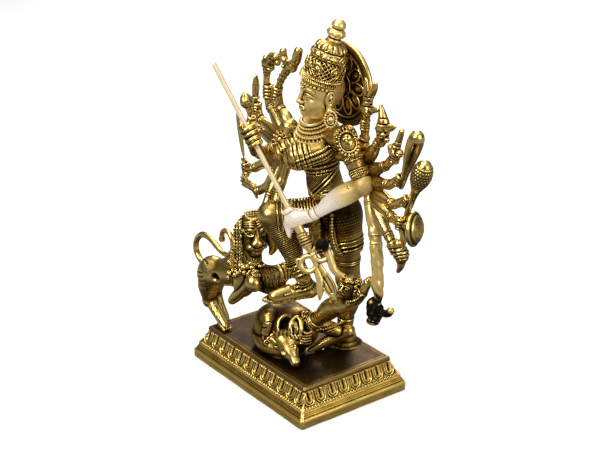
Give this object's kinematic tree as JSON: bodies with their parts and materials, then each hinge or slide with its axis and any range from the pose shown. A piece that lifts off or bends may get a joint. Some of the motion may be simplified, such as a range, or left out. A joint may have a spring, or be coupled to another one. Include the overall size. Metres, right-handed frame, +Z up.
{
  "type": "hindu deity statue",
  "caption": "Brass statuette of a many-armed goddess with lion, buffalo and fallen demon on a lotus-banded base, driving down a spear whose shaft slides out.",
  "frame": {"origin": "centre of the base's underside, on the flat face it stands on", "axes": "+Z up through the deity; -Y is the front that the figure faces; +X is the deity's left"},
  "size_m": [0.226, 0.105, 0.3003],
  "materials": {
    "cast_brass": "cast and chased antique brass, dark patina in the recesses, worn bright on the ridges",
    "satin_brass": "hand-polished satin brass with brown lines in the chasing",
    "bright_brass": "pale, highly polished brass",
    "dark_brass": "antique brass with heavy dark brown patina",
    "base_brass": "satin antique brass, brushed faces and dark chased band",
    "deck_brass": "dark brown patinated brass, satin, worn golden at the edges",
    "fastener_steel": "zinc-plated steel studs and nuts"
  },
  "bodies": {
    "statue": {"base_plinth": "base_brass", "lotus_frieze": "base_brass", "deck_plate": "deck_brass", "foot_studs": "fastener_steel", "stud_nuts": "fastener_steel", "lion_body": "cast_brass", "lion_head": "dark_brass", "lion_tail": "cast_brass", "buffalo_body": "dark_brass", "buffalo_head": "cast_brass", "demon_body": "cast_brass", "demon_head": "dark_brass", "standing_leg": "cast_brass", "raised_leg": "cast_brass", "hips_skirt": "cast_brass", "torso": "cast_brass", "necklace": "satin_brass", "head": "satin_brass", "crown": "cast_brass", "crown_finial": "satin_brass", "halo_disc": "dark_brass", "halo_stud": "dark_brass", "earrings": "satin_brass", "left_upper_arm": "cast_brass", "left_spear_forearm": "bright_brass", "elbow_rivet": "dark_brass", "right_upper_arm": "cast_brass", "right_spear_forearm": "cast_brass", "left_fan_bracket": "dark_brass", "right_fan_bracket": "dark_brass", "left_arm_1_forked_bud": "cast_brass", "left_arm_2_thunderbolt": "cast_brass", "left_arm_3_arrow": "cast_brass", "left_arm_4_mace": "cast_brass", "left_arm_5_conch": "cast_brass", "left_arm_6_shield": "cast_brass", "left_arm_7_bell": "cast_brass", "left_arm_8_tassel": "satin_brass", "right_arm_1_stalk": "cast_brass", "right_arm_2_bowl": "cast_brass", "right_arm_3_dagger": "cast_brass", "right_arm_4_lotus": "cast_brass", "right_arm_6_sword": "cast_brass", "right_arm_7_open_hand": "cast_brass", "right_arm_8_low_hand": "cast_brass", "right_arm_9_hip_hand": "cast_brass", "trident_head": "satin_brass"},
    "spear": {"spear_shaft": "bright_brass"}
  },
  "joints": [
    {"name": "spear_slide", "type": "slide", "parent": "statue", "child": "spear", "axis": [-0.5337, -0.173, 0.8278], "range_m": [0, 0.08]}
  ]
}
